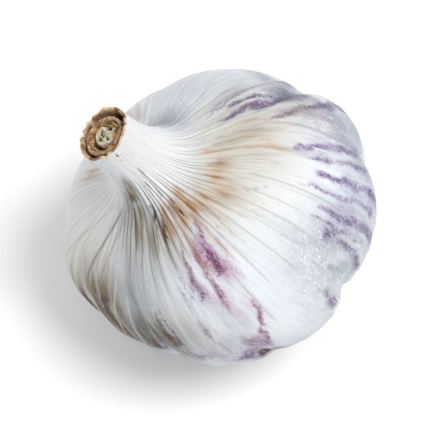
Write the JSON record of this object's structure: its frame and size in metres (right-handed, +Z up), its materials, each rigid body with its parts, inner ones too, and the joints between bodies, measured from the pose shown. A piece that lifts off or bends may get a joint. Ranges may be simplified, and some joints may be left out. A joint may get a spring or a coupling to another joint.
{
  "type": "garlic bulb",
  "caption": "Whole garlic bulb with papery purple-streaked skin, a cut neck and trimmed roots, leaning on its side.",
  "frame": {"origin": "on the floor under the centre of the bulb's bounding box, as it leans at rest", "axes": "+Z up; the bulb's own axis leans 36 degrees from +Z towards -X, so the cut neck points up and to -X; -Y is the side seen from the front"},
  "size_m": [0.0608, 0.06, 0.0603],
  "materials": {
    "skin": "papery white skin with purple streaks, satin",
    "dry_sheath": "dry brown leaf sheath, matte",
    "inner_husk": "dry tan leaf sheath, matte",
    "pith": "pale fibrous pith, matte",
    "roots": "corky plate and dry trimmed roots, matte"
  },
  "bodies": {
    "root": {"bulb": "skin", "middle_sheath": "dry_sheath", "inner_sheath": "inner_husk", "stem_core": "pith", "root_plate": "roots"}
  },
  "joints": []
}
